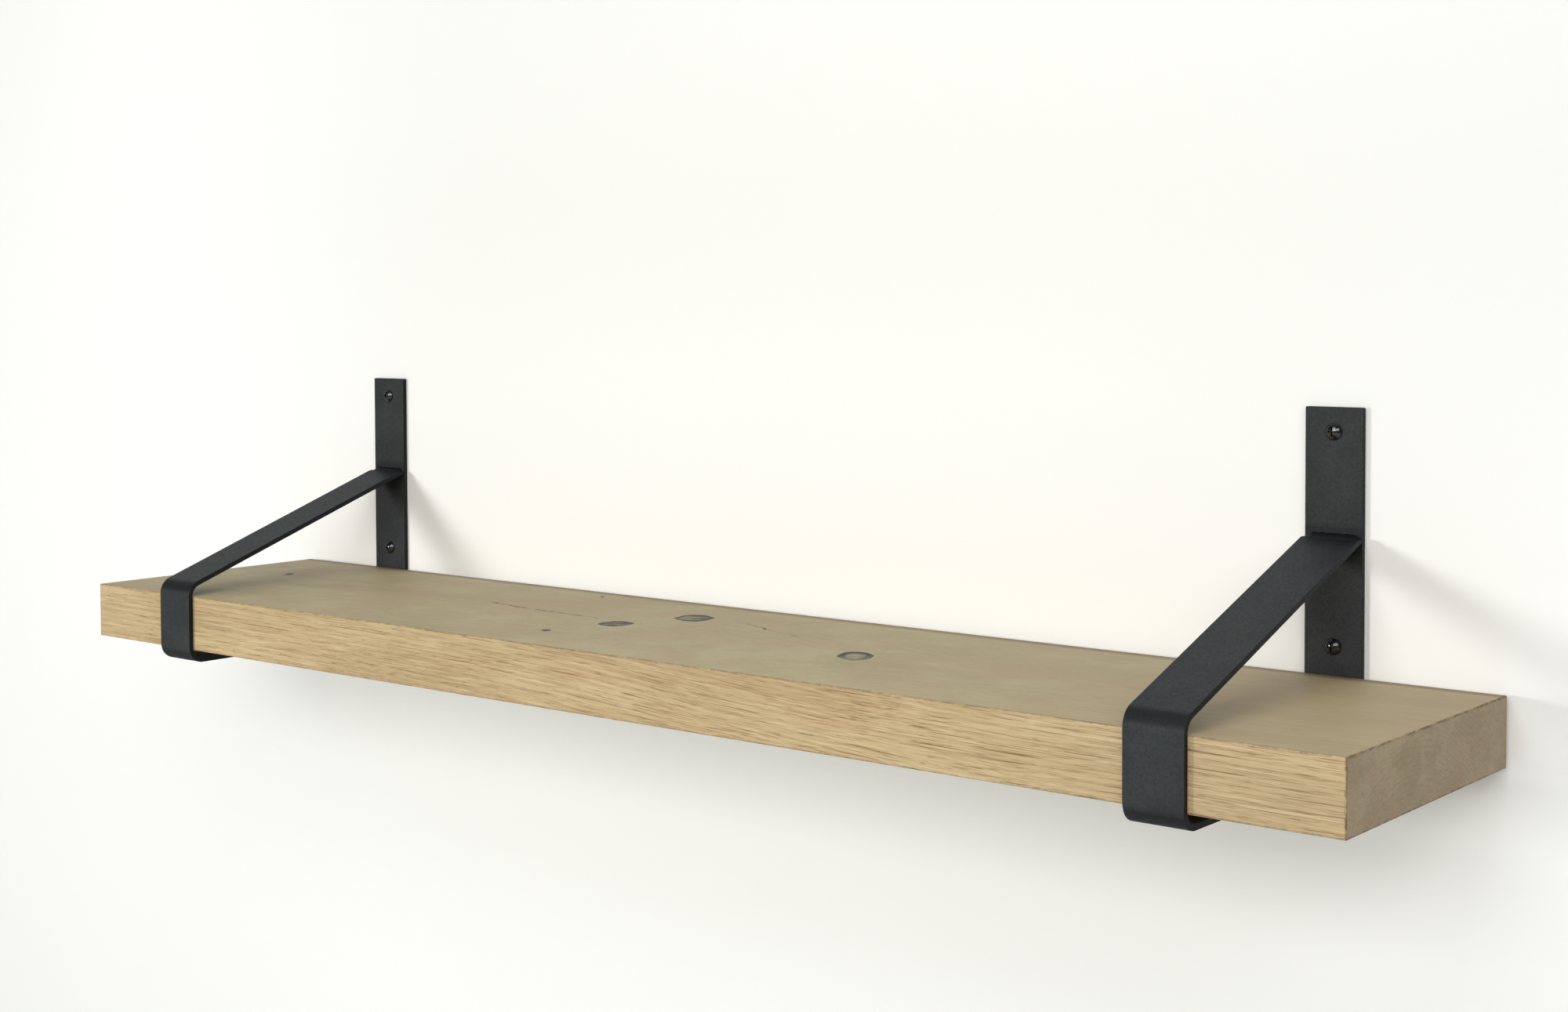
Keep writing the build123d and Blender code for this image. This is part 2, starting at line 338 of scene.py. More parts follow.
# pin knots on the top: centre x and y in mm; turn in degrees; radii along and across in mm
PIN_KNOTS = (
    (-79.5, -182.5, 45.5, 4.0, 5.5),
    (-502.0, -90.5, 52.0, 4.3, 7.5),
    (-174.0, -24.5, 44.0, 1.7, 4.0),
    (45.5, -77.5, 40.0, 1.4, 4.0),
)
BOARD_X = (board_low.x / MM, board_high.x / MM)
BOARD_Y = (board_low.y / MM, board_high.y / MM)
BOARD_Z = (board_low.z / MM, board_high.z / MM)


def turned(g, x, y, mark):
    """Place in a mark's own axes, where 1 is its radius along and across."""
    cx, cy, turn, along_radius, across_radius = mark[:5]
    c, s = math.cos(math.radians(turn)), math.sin(math.radians(turn))
    dx = g.less(x, cx)
    dy = g.less(y, cy)
    along = g.add(g.times(dx, c / along_radius), g.times(dy, s / along_radius))
    across = g.add(g.times(dx, -s / across_radius), g.times(dy, c / across_radius))
    return along, across


def knot_field(g, x, y, wobble, knot):
    """Distance from a knot's centre, where 1 is its rim. Pointed knots have lens-shaped rims."""
    along, across = turned(g, x, y, knot)
    oval = g.hypot(along, across)
    lens = g.add(g.times(along, along), g.math("ABSOLUTE", across))
    pointedness = knot[6]
    return g.add(g.times(oval, 1.0 - pointedness), g.times(lens, pointedness), wobble)


def from_arris(g, x, y, z):
    """Distance in mm from the board's nearest long edge and from its nearest end edge."""
    gaps = []
    for place, (low, high) in ((x, BOARD_X), (y, BOARD_Y), (z, BOARD_Z)):
        middle = (low + high) / 2
        gaps.append(g.less((high - low) / 2, g.math("ABSOLUTE", g.less(place, middle))))
    gx, gy, gz = gaps
    at_end = g.math("MINIMUM", g.highest(gx, gy), g.highest(gx, gz))
    return g.highest(gy, gz), at_end


def segment_field(g, x, y, start, end):
    """Distance in mm from a straight stretch between two points of the top."""
    span = (end[0] - start[0], end[1] - start[1])
    length_squared = span[0] ** 2 + span[1] ** 2
    dx = g.less(x, start[0])
    dy = g.less(y, start[1])
    share = g.add(g.times(dx, span[0] / length_squared), g.times(dy, span[1] / length_squared))
    share = g.math("MINIMUM", g.math("MAXIMUM", share, 0.0), 1.0)
    return g.hypot(g.less(dx, g.times(share, span[0])), g.less(dy, g.times(share, span[1])))


def oak_material():
    """Oak with growth rings: warm planed front, greyed top, sawn ends, knots and cracks."""
    g = Graph("oak")
    x, y, z, place = g.millimetres()
    nx, _, nz, up = g.facing()
    on_face = g.step(nz, *FACING_RANGE)
    on_end = g.step(nx, *FACING_RANGE)
    on_top = g.step(up, *FACING_RANGE)

    def stretched(size, into=y, up_board=z):
        """Coordinates divided by a noise's size in mm along, into and up the board."""
        axes = zip((x, into, up_board), size)
        return g.vector(*[g.times(axis, 1 / part) for axis, part in axes])

    def along_grain(length, depth, height, detail, roughness):
        """Noise drawn out along the fibres: its size along, into and up the board, in mm."""
        size = (length, depth, height)
        return g.noise(stretched(size, y_grain, z_grain), 1.0, detail, roughness)

    def wavering(noise_value, size):
        """A noise's value made to waver about 0, from about -size / 2 to size / 2."""
        return g.times(g.less(noise_value, 0.5), size)

    # grain direction: the fibres wander a little, and dip towards the right on the front
    wander = wavering(g.noise(stretched(WANDER_SIZE), 1.0, 1.0), GRAIN_WANDER)
    dip = g.step(x, *DIP_RANGE, 0.0, GRAIN_DIP)
    z_grain = g.add(z, dip, wander)
    y_grain = g.add(y, g.times(wander, WANDER_INTO))

    # the grain parts round each knot
    swirl = 0.0
    rim = wavering(g.noise(place, *KNOT_RIM_NOISE), KNOT_RAGGEDNESS)
    fields = [knot_field(g, x, y, rim, knot) for knot in KNOTS]
    for field in fields:
        swirl = g.add(swirl, g.step(field, *SWIRL_FADE))

    # growth rings about the pith, with uneven widths
    radius = g.hypot(g.less(y_grain, PITH[0]), g.less(z_grain, PITH[1]))
    radius = g.add(radius, g.times(x, TAPER), swirl)
    uneven_place = g.vector(g.times(radius, 1 / RING_UNEVENNESS_SIZE), 0.0, 0.0)
    uneven = g.noise(uneven_place, 1.0, 1.0)
    radius = g.add(radius, g.times(uneven, RING_UNEVENNESS))
    turn = g.math("FRACT", g.times(radius, 1 / RING_WIDTH))
    early = g.times(g.step(turn, *EARLY_START), g.step(turn, *EARLY_FADE))

    broad = along_grain(*BROAD_GRAIN)
    pale = along_grain(*PALE_STREAKS)
    fine = along_grain(*FINE_GRAIN)
    dash = along_grain(*DASHES)
    pore = along_grain(*PORES)
    tone = g.noise(stretched(TONE_SIZE))
    dashes_here = g.add(g.times(early, DASHES_EARLY), 1.0 - DASHES_EARLY)
    dashes = g.times(g.step(dash, *DASH_STEP), dashes_here)
    pores_here = g.add(g.times(early, PORES_EARLY), 1.0 - PORES_EARLY)
    pores = g.times(g.step(pore, *PORE_STEP), pores_here)

    # front and back: warm planed oak with pale streaks, fine dark dashes and pores
    flush = g.noise(stretched(FLUSH_SIZE, y, z_grain))
    front = g.mix(g.step(tone, *FRONT_TONE_STEP), FRONT_MID, FRONT_LIGHT)
    front = g.mix(g.step(flush, *FRONT_FLUSH_STEP), front, FRONT_WARM)
    front = g.mix(g.step(broad, *FRONT_BROAD_STEP), front, FRONT_MID)
    front = g.mix(g.step(x, *LEFT_END_RANGE), front, FRONT_PALE)
    front = g.mix(g.step(x, *RIGHT_END_RANGE), front, FRONT_PALE)
    front = g.mix(g.step(pale, *FRONT_PALE_STEP), front, FRONT_PALE)
    front = g.mix(g.step(fine, *FRONT_FINE_STEP), front, FRONT_DARK)
    front = g.mix(g.times(early, FRONT_EARLY), front, FRONT_DARK)
    front = g.mix(g.times(dashes, g.step(x, *DASHED_RANGE)), front, FRONT_DARK)
    front = g.mix(g.times(pores, FRONT_PORES), front, FRONT_DARK)

    # top and underside: greyed, brushed and quiet
    patch = g.noise(stretched(PATCH_SIZE, y_grain), 1.0, 3.0)
    bloom = g.noise(stretched(BLOOM_SIZE))
    top = g.mix(g.step(patch, *TOP_PATCH_STEP), TOP_LIGHT, TOP_MID)
    top = g.mix(g.step(bloom, *TOP_BLOOM_STEP), top, TOP_ROSE)
    top = g.mix(g.step(x, *ROSE_RANGE), top, TOP_ROSE)
    top = g.mix(g.step(tone, *TOP_TONE_STEP), top, TOP_DARK)
    border_start, border_end = (BOARD_Y[1] - gap for gap in BACK_BORDER)
    border = g.step(y, border_start, border_end, 0.0, BACK_BORDER_STRENGTH)
    top = g.mix(border, top, ARRIS_TONE)
    top = g.mix(g.times(early, TOP_EARLY), top, TOP_DARK)
    top = g.mix(g.step(fine, *TOP_FINE_STEP), top, TOP_DARK)
    top = g.mix(g.times(dashes, TOP_DASHES), top, TOP_DARK)
    top = g.mix(g.times(pores, TOP_PORES), top, TOP_DARK)

    # ends: sawn end grain, mottled, with its pores as dots
    dots = g.noise(place, *DOTS_NOISE)
    blush = g.noise(stretched(BLUSH_SIZE))
    saw = g.noise(stretched(SAW_SIZE))
    mottle = g.noise(stretched(MOTTLE_SIZE), 1.0, 3.0, 0.6)
    end = g.mix(g.step(mottle, *END_MOTTLE_STEP), END_MID, END_LIGHT)
    end = g.mix(g.step(blush, *END_BLUSH_STEP), end, END_ROSE)
    end = g.mix(g.times(early, END_EARLY), end, END_DARK)
    end = g.mix(g.step(saw, *END_SAW_STEP), end, END_DARK)
    end = g.mix(g.step(dots, *END_DOTS_STEP), end, END_DARK)

    # knots, pin knots and cracks on the top
    depth = 0.0
    for field, knot in zip(fields, KNOTS):
        along, across = turned(g, x, y, knot)
        paleness = knot[5]
        streaks_along, streaks_across = KNOT_STREAKS
        inner_place = g.vector(
            g.times(along, streaks_along), g.times(across, streaks_across), knot[0]
        )
        inner = g.noise(inner_place, 1.0, 3.0, 0.6)
        inside = g.times(g.step(field, *KNOT_EDGE), on_top)
        ring_start = KNOT_RING_START - KNOT_RING_EARLIER * paleness
        far_side = g.step(across, *KNOT_FAR_SIDE)
        ring = g.step(field, ring_start, ring_start + KNOT_RING_BLEND)
        ring = g.times(ring, inside, far_side)
        halo = g.times(g.step(field, *KNOT_HALO_START), g.step(field, *KNOT_HALO_END), on_top)
        heart = g.mix(paleness * KNOT_HEART_PALENESS, KNOT_HEART, TOP_LIGHT)
        dark_strength, pale_loss = KNOT_STREAK_STRENGTHS
        streaks = g.step(inner, *KNOT_STREAK_STEP, 0.0, dark_strength - pale_loss * paleness)
        grainy = g.mix(streaks, heart, KNOT_RIM)
        top = g.mix(g.times(halo, KNOT_HALO_STRENGTH), top, TOP_LIGHT)
        top = g.mix(inside, top, grainy)
        top = g.mix(g.times(ring, KNOT_RING_STRENGTH), top, KNOT_RIM)
        depth = g.add(depth, g.times(ring, KNOT_RING_DEPTH))
    jitter = wavering(g.noise(place, *CRACK_NOISE), CRACK_JITTER)
    break_along, break_across = CRACK_BREAK_SIZE
    broken_place = g.vector(g.times(x, 1 / break_along), g.times(y, 1 / break_across), 0.0)
    broken = g.step(g.noise(broken_place, 1.0, 1.0), *CRACK_BREAKS)
    for *points, strength in CRACKS:
        for start, end_point in zip(points, points[1:]):
            gap = segment_field(g, x, g.add(y, jitter), start, end_point)
            line = g.times(g.step(gap, *CRACK_WIDTH), on_top, broken)
            top = g.mix(g.times(line, strength), top, CRACK_TONE)
            depth = g.add(depth, line)
    for mark in PIN_KNOTS:
        spot = g.hypot(*turned(g, x, y, mark))
        spot = g.times(g.step(g.add(spot, rim), *PIN_KNOT_EDGE), on_top)
        top = g.mix(g.times(spot, PIN_KNOT_STRENGTH), top, CRACK_TONE)
        depth = g.add(depth, spot)

    colour = g.mix(on_face, front, top)
    colour = g.mix(on_end, colour, end)

    # the arrises are darker and a little ragged
    frayed = g.noise(place, *FRAY_NOISE)
    ragged = g.step(g.noise(place, *ARRIS_NOISE), *ARRIS_BREAKS)
    for distance, strength in zip(from_arris(g, x, y, z), ARRIS_STRENGTHS):
        edge = g.add(distance, wavering(frayed, ARRIS_FRAY))
        worn = g.times(g.step(edge, *ARRIS_WIDTH), ragged, strength)
        colour = g.mix(worn, colour, ARRIS_TONE)

    g.set("Base Color", colour)
    dull = g.add(fine, g.times(pores, OAK_PORE_ROUGHNESS))
    g.set("Roughness", g.step(dull, *OAK_ROUGHNESS))
    g.shader.inputs["Specular IOR Level"].default_value = OAK_SPECULAR
    relief = g.add(
        g.times(pores, RELIEF_PORES),
        g.times(dashes, RELIEF_DASHES),
        g.times(fine, RELIEF_FINE),
    )
    relief = g.add(
        relief,
        g.times(early, RELIEF_EARLY),
        g.times(depth, RELIEF_MARKS),
        g.times(dots, on_end, RELIEF_END_DOTS),
    )
    g.bump(relief, *OAK_BUMP)
    return g.material


# --- powder-coated steel -----------------------------------------------------------------
COAT = srgb(41, 44, 45)
COAT_LIGHT = srgb(51, 54, 54)
COAT_DARK = srgb(30, 32, 34)
# paler coat tone for grit, and for rubbed edges that are part wear, part painted highlight
COAT_RUB_AND_HIGHLIGHT = srgb(74, 76, 75)
# near-black tone for all the painted shade on the coat
COAT_PAINTED_SHADE = srgb(12, 12, 14)
WELD_PLACE = (-5.0, 4.0)  # the weld's middle, y and z in mm
# how far the painted shade on the coat reaches from the weld, in mm
WELD_SHADE_UP = 8.0
WELD_SHADE_DOWN = 24.0
WELD_SHADE_OUT = 26.0
WELD_SHADE_FADE = (0.2, 1.0, 0.6, 0.0)
# even noises: scale per mm, detail and roughness
GRIT_SCALE = 1.25
PEEL_NOISE = (0.55, 3.0, 0.6)
CLOUD_NOISE = (0.035, 3.0, 0.55)
SPECK_NOISE = (0.42, 2.0, 0.7)
RUB_AND_HIGHLIGHT_NOISE = (0.12, 3.0)
LUMP_NOISE = (0.9, 3.0)
# from which to which value of a noise a colour comes in, and how strong it is at each
CLOUD_STEP = (0.35, 0.68)
PEEL_STEP = (0.45, 0.75)
PEEL_STRENGTH = 0.35
GRIT_STEP = (0.05, 0.30, 0.22, 0.0)
PALE_SPECK_STEP = (0.52, 0.70, 0.0, 0.40)
DARK_SPECK_STEP = (0.32, 0.48, 0.40, 0.0)
RUB_AND_HIGHLIGHT_STEP = (0.42, 0.66)
RUB_AND_HIGHLIGHT_STRENGTH = 0.45
# parts of the normal that tell a corner, the outer bends and the bar's edges from flat faces;
# the bends and edges get painted shade
CORNER_FACING = (0.35, 0.95)
BEND_UP_START = (0.15, 0.45)
BEND_UP_END = (0.80, 0.93, 1.0, 0.0)
BEND_OUT = (0.2, 0.4)
BEND_SHADE = 0.6
EDGE_FACING = (0.6, 0.9)
EDGE_SHADE = 0.75
COAT_ROUGHNESS = (0.45, 1.0, 0.46, 0.62)
COAT_CLOUD_ROUGHNESS = 0.5
COAT_SPECULAR = 0.20
RELIEF_GRIT = 0.8
RELIEF_PEEL = 0.7
COAT_BUMP = (0.5, 0.10 * MM)  # strength and distance
# the weld's coat: how lumpy it is, and how much painted shade darkens it
WELD_LUMPS = 1.2
WELD_SHADE = 0.8


def powder_coat(name, lumpy=0.0, shade=0.0):
    """Matt black fine-texture powder coat with painted shade on bends, side faces and round the
    weld, and rubbed edges that are part wear, part painted highlight. Lumpy adds a weld's
    coarser relief; shade paints further shade over the whole coat.
    """
    g = Graph(name)
    _, y, z, place = g.millimetres()
    nx, ny, nz, _ = g.facing()
    grit = g.cells(place, GRIT_SCALE)
    peel = g.noise(place, *PEEL_NOISE)
    cloud = g.noise(place, *CLOUD_NOISE)
    colour = g.mix(g.step(cloud, *CLOUD_STEP), COAT, COAT_LIGHT)
    colour = g.mix(g.times(g.step(peel, *PEEL_STEP), PEEL_STRENGTH), colour, COAT_DARK)
    colour = g.mix(g.step(grit, *GRIT_STEP), colour, COAT_RUB_AND_HIGHLIGHT)
    speck = g.noise(place, *SPECK_NOISE)
    colour = g.mix(g.step(speck, *PALE_SPECK_STEP), colour, COAT_LIGHT)
    colour = g.mix(g.step(speck, *DARK_SPECK_STEP), colour, COAT_DARK)
    # rubbed corners: part wear, part painted highlight along the bar's rounded edges
    corner = g.highest(g.times(nx, ny, 2.0), g.times(nx, nz, 2.0))
    rub_and_highlight = g.times(g.step(corner, *CORNER_FACING), g.step(g.noise(place, *RUB_AND_HIGHLIGHT_NOISE), *RUB_AND_HIGHLIGHT_STEP))
    colour = g.mix(g.times(rub_and_highlight, RUB_AND_HIGHLIGHT_STRENGTH), colour, COAT_RUB_AND_HIGHLIGHT)
    # painted shade on the outer bends, picked out by how they face
    bend_painted_shade = g.times(g.step(nz, *BEND_UP_START), g.step(nz, *BEND_UP_END), g.step(ny, *BEND_OUT))
    # painted shade on the bar's side faces, picked out by how they face
    side = g.step(nx, *EDGE_FACING)
    # painted shade on the strip and stay round the weld
    weld_z = g.less(z, WELD_PLACE[1])
    reach = g.highest(g.times(weld_z, 1 / WELD_SHADE_UP), g.times(weld_z, -1 / WELD_SHADE_DOWN))
    reach = g.hypot(reach, g.times(g.less(y, WELD_PLACE[0]), 1 / WELD_SHADE_OUT))
    weld_painted_shade = g.step(reach, *WELD_SHADE_FADE)
    # painted shade: bends, side faces, the coat round the weld and a weld's extra shade all
    # darken towards one near-black tone
    coat_painted_shade = g.highest(g.times(bend_painted_shade, BEND_SHADE), g.times(side, EDGE_SHADE), weld_painted_shade, shade)
    colour = g.mix(coat_painted_shade, colour, COAT_PAINTED_SHADE)
    g.set("Base Color", colour)
    dull = g.add(peel, g.times(cloud, COAT_CLOUD_ROUGHNESS))
    g.set("Roughness", g.step(dull, *COAT_ROUGHNESS))
    g.shader.inputs["Specular IOR Level"].default_value = COAT_SPECULAR
    relief = g.add(g.times(grit, RELIEF_GRIT), g.times(peel, RELIEF_PEEL))
    if lumpy:
        relief = g.add(relief, g.times(g.noise(place, *LUMP_NOISE), lumpy))
    g.bump(relief, *COAT_BUMP)
    return g.material


# --- screws and plugs --------------------------------------------------------------------
SCREW_BLACK = srgb(14, 15, 17)
SCREW_WORN = srgb(66, 68, 68)
NYLON = srgb(176, 176, 170)
NYLON_DARK = srgb(140, 141, 137)

SCUFF_NOISE = (0.9, 4.0, 0.65)
FLECK_STEP = (0.58, 0.70)
FLECK_STRENGTH = 0.35
SCREW_ROUGHNESS = (0.3, 0.7, 0.14, 0.26)
SCREW_SPECULAR = 0.8
SCREW_GLOSS = (0.8, 0.07)  # weight and roughness of the clear gloss
SCREW_BUMP = (0.25, 0.05 * MM)  # strength and distance

FLOW_DENSITY = (0.3, 0.06, 0.3)  # flow marks per mm in x, y and z
FLOW_STEP = (0.35, 0.68)
NYLON_GRAIN_NOISE = (2.4, 2.0)
NYLON_ROUGHNESS = (0.3, 0.7, 0.38, 0.52)
NYLON_SPECULAR = 0.45
NYLON_BUMP = (0.3, 0.05 * MM)


def screw_material():
    """Gloss black screw with a few worn flecks."""
    g = Graph("black_screw")
    *_, place = g.millimetres()
    scuff = g.noise(place, *SCUFF_NOISE)
    fleck = g.step(scuff, *FLECK_STEP)
    g.set("Base Color", g.mix(g.times(fleck, FLECK_STRENGTH), SCREW_BLACK, SCREW_WORN))
    g.set("Roughness", g.step(scuff, *SCREW_ROUGHNESS))
    g.shader.inputs["Specular IOR Level"].default_value = SCREW_SPECULAR
    gloss_weight, gloss_roughness = SCREW_GLOSS
    g.shader.inputs["Coat Weight"].default_value = gloss_weight
    g.shader.inputs["Coat Roughness"].default_value = gloss_roughness
    g.bump(scuff, *SCREW_BUMP)
    return g.material


def nylon_material():
    """Grey moulded nylon with faint flow marks along the plug."""
    g = Graph("nylon")
    *axes, place = g.millimetres()
    flow_place = g.vector(*[g.times(axis, part) for axis, part in zip(axes, FLOW_DENSITY)])
    flow = g.noise(flow_place, 1.0, 3.0)
    grain = g.noise(place, *NYLON_GRAIN_NOISE)
    g.set("Base Color", g.mix(g.step(flow, *FLOW_STEP), NYLON, NYLON_DARK))
    g.set("Roughness", g.step(grain, *NYLON_ROUGHNESS))
    g.shader.inputs["Specular IOR Level"].default_value = NYLON_SPECULAR
    g.bump(grain, *NYLON_BUMP)
    return g.material


# --- weld beads --------------------------------------------------------------------------
WELD_LEG_UP = 3.8 * MM
WELD_PAST_FLAT = 0.8 * MM
WELD_RIPPLE = 2.1 * MM
WELD_RIPPLE_HEIGHT = 0.22 * MM
WELD_PIT_DEPTH = 0.14 * MM
WELD_ROOT_GAP = 0.15 * MM
WELD_ROOT_STEP = 0.28 * MM
# in mm: size at the bead's ends, further size at its middle, and how far that wanders
WELD_HEIGHT = (0.35, 2.65, 0.75)
WELD_REACH = (2.2, 4.3, 0.6)
WELD_CROWN = (0.25, 0.35, 0.12)
WELD_STATIONS = 120
WELD_ARC_POINTS = 14
WELD_END_TAPER = 4.0 * MM
WELD_END_ROUNDING = 0.55
WELD_RIPPLE_ARC = 0.55  # how far the ripples run ahead at the bead's crown, in ripples
WELD_RIPPLE_WANDER = 0.5
WELD_RIPPLE_SHARPNESS = 0.7
WELD_RIPPLE_LEVEL = 0.6
WELD_EDGE_CALM = 2.5  # how fast ripples and pits grow from the bead's toes
# how far apart in the noise two lanes, and two beads, are taken
WOBBLE_LANE_STEP = 7.3
WOBBLE_BEAD_STEP = 3.1
# each wobble's lane and its changes per metre
HEIGHT_WOBBLE = (1, 330)
REACH_WOBBLE = (2, 290)
CROWN_WOBBLE = (3, 400)
RIPPLE_WOBBLE = (4, 260)
PIT_LANE = 5
PIT_LANE_SPAN = 2.0
PIT_RATE = 1500


def wobble(x, seed, lane, per_metre):
    """Smooth noise from -1 to 1 along x, different for each bead and lane."""
    return noise.noise(Vector((x * per_metre, lane * WOBBLE_LANE_STEP, seed * WOBBLE_BEAD_STEP)))


def weld_ring(mesh, x, from_end, low, high, seed):
    """One slice across the bead: from the strip down to the toe on the stay, and the root."""
    flat_y = low.y + WELD_PAST_FLAT
    flat_z = high.z - WELD_LEG_UP
    size = min(1.0, max(from_end, 0.0) / WELD_END_TAPER) ** WELD_END_ROUNDING
    least, growth, wander = WELD_HEIGHT
    up = (least + (growth + wander * wobble(x, seed, *HEIGHT_WOBBLE)) * size) * MM
    least, growth, wander = WELD_REACH
    out = (least + (growth + wander * wobble(x, seed, *REACH_WOBBLE)) * size) * MM
    toe_y = high.y - out
    toe_z = flat_z - max(0.0, flat_y - toe_y) * math.tan(STAY_SLOPE)
    lean = math.atan2(flat_z + up - toe_z, out)
    least, growth, wander = WELD_CROWN
    crown = (least + growth * size + wander * wobble(x, seed, *CROWN_WOBBLE)) * MM
    ring = []
    for k in range(WELD_ARC_POINTS + 1):
        t = k / WELD_ARC_POINTS
        arch = math.sin(math.pi * t)
        phase = x / WELD_RIPPLE + WELD_RIPPLE_ARC * arch
        phase += WELD_RIPPLE_WANDER * wobble(x, seed, *RIPPLE_WOBBLE)
        wave = abs(math.sin(math.pi * phase)) ** WELD_RIPPLE_SHARPNESS - WELD_RIPPLE_LEVEL
        ripple = wave * WELD_RIPPLE_HEIGHT * size
        pit = WELD_PIT_DEPTH * wobble(x, seed, PIT_LANE + PIT_LANE_SPAN * t, PIT_RATE)
        rise = crown * arch + (ripple + pit) * min(1.0, WELD_EDGE_CALM * arch)
        y = high.y - out * t - rise * math.sin(lean)
        z = (flat_z + up) * (1.0 - t) + toe_z * t + rise * math.cos(lean)
        ring.append(mesh.verts.new((x, y, min(z, high.z))))
    ring.append(mesh.verts.new((x, high.y - WELD_ROOT_STEP, low.z + WELD_ROOT_GAP)))
    ring.append(mesh.verts.new((x, high.y, low.z + WELD_ROOT_GAP)))
    return ring


def weld_bead(side, seed):
    """Hand-laid fillet weld: curved ripples, a wandering toe and rounded, lower ends."""
    low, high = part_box(f"weld_{side}")
    mesh = bmesh.new()
    rings = []
    for i in range(WELD_STATIONS + 1):
        x = low.x + (high.x - low.x) * i / WELD_STATIONS
        from_end = min(x - low.x, high.x - x)
        rings.append(weld_ring(mesh, x, from_end, low, high, seed))
    for a, b in zip(rings, rings[1:]):
        count = len(a)
        for k in range(count):
            following = (k + 1) % count
            mesh.faces.new((a[k], a[following], b[following], b[k]))
    mesh.faces.new(rings[0])
    mesh.faces.new(list(reversed(rings[-1])))
    bmesh.ops.recalc_face_normals(mesh, faces=mesh.faces)
    data = bpy.data.meshes.new(f"weld_bead_{side}")
    mesh.to_mesh(data)
    mesh.free()
    for face in data.polygons:
        face.use_smooth = len(face.vertices) == 4
    bead = bpy.data.objects.new(f"weld_bead_{side}", data)
    bpy.context.scene.collection.objects.link(bead)
    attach(bead, BODY)
    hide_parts(f"weld_{side}")
    return bead


# --- dressing the CAD nodes --------------------------------------------------------------
def dress(obj, material):
    obj.data.materials.clear()
    obj.data.materials.append(material)


oak = oak_material()
coat = powder_coat("powder_coated_steel")
# the weld bead's coat is darkened almost to black by painted shade
weld_coat_painted_shade = powder_coat("coated_weld", WELD_LUMPS, WELD_SHADE)
screw_black = screw_material()
nylon = nylon_material()

dress(nodes["shelf_board"], oak)
for number, side in enumerate(SIDES):
    dress(nodes[f"bracket_{side}"], coat)
    dress(weld_bead(side, number + 1), weld_coat_painted_shade)
    for level in LEVELS:
        dress(nodes[f"wall_screw_{side}_{level}"], screw_black)
        dress(nodes[f"wall_plug_{side}_{level}"], nylon)
    for place in PLACES:
        dress(nodes[f"board_screw_{side}_{place}"], screw_black)


# --- stage: a pale floor, and the pale wall that the shelf hangs on -----------------------
WALL_OFFSET = 0.4 * MM
FLOOR_Z = -1.15
STAGE_HALF_WIDTH = 5.0
WALL_HEIGHT = 4.5
WALL_WHITE = srgb(252, 252, 248)
WALL_WHITE_SHADE = srgb(251, 251, 247)
# darker white for the painted shade towards the wall's top
WALL_PAINTED_SHADE_WHITE = srgb(240, 240, 235)
# places in mm, upwards and to the right, between which the wall's painted shade towards its top
# sets in
WALL_SHADE_UP = (-20.0, 260.0)
WALL_SHADE_RIGHT = (-900.0, -300.0)
FLOOR_GREY = srgb(212, 213, 212)
FLOOR_GREY_SHADE = srgb(204, 205, 204)
# even noises: scale per mm, detail and roughness
ROLLER_NOISE = (0.09, 4.0, 0.6)
WALL_CLOUD_NOISE = (0.0025, 2.0)
FLOOR_CLOUD_NOISE = (0.004, 3.0)
STAGE_CLOUD_STEP = (0.3, 0.7)
WALL_ROUGHNESS = 0.85
WALL_SPECULAR = 0.2
WALL_BUMP = (0.12, 0.3 * MM)  # strength and distance
FLOOR_ROUGHNESS = 0.8


def clear_from_behind(g):
    """Make a stage surface invisible from its back, so that the shelf can be seen from there."""
    choose = g.node("ShaderNodeMixShader")
    g.feed(choose.inputs[0], g.node("ShaderNodeNewGeometry").outputs["Backfacing"])
    g.feed(choose.inputs[1], g.shader.outputs["BSDF"])
    g.feed(choose.inputs[2], g.node("ShaderNodeBsdfTransparent").outputs[0])
    g.feed(g.output.inputs["Surface"], choose.outputs[0])


def plaster_material():
    """Smooth white painted wall, with painted shade that makes it a little darker towards its
    top on the right.
    """
    g = Graph("stage_wall")
    x, _, z, place = g.millimetres()
    roll = g.noise(place, *ROLLER_NOISE)
    cloud = g.noise(place, *WALL_CLOUD_NOISE)
    colour = g.mix(g.step(cloud, *STAGE_CLOUD_STEP), WALL_WHITE, WALL_WHITE_SHADE)
    # painted shade towards the wall's top on the right
    wall_painted_shade = g.times(g.step(z, *WALL_SHADE_UP), g.step(x, *WALL_SHADE_RIGHT))
    colour = g.mix(wall_painted_shade, colour, WALL_PAINTED_SHADE_WHITE)
    g.set("Base Color", colour)
    g.shader.inputs["Roughness"].default_value = WALL_ROUGHNESS
    g.shader.inputs["Specular IOR Level"].default_value = WALL_SPECULAR
    g.bump(roll, *WALL_BUMP)
    clear_from_behind(g)
    return g.material


def floor_material():
    """Pale, faintly clouded floor."""
    g = Graph("stage_floor")
    *_, place = g.millimetres()
    cloud = g.noise(place, *FLOOR_CLOUD_NOISE)
    g.set("Base Color", g.mix(g.step(cloud, *STAGE_CLOUD_STEP), FLOOR_GREY, FLOOR_GREY_SHADE))
    g.shader.inputs["Roughness"].default_value = FLOOR_ROUGHNESS
    clear_from_behind(g)
    return g.material


def sheet_object(name, corners, material):
    data = bpy.data.meshes.new(name)
    data.from_pydata(corners, [], [(0, 1, 2, 3)])
    data.materials.append(material)
    obj = bpy.data.objects.new(name, data)
    bpy.context.scene.collection.objects.link(obj)
    return obj


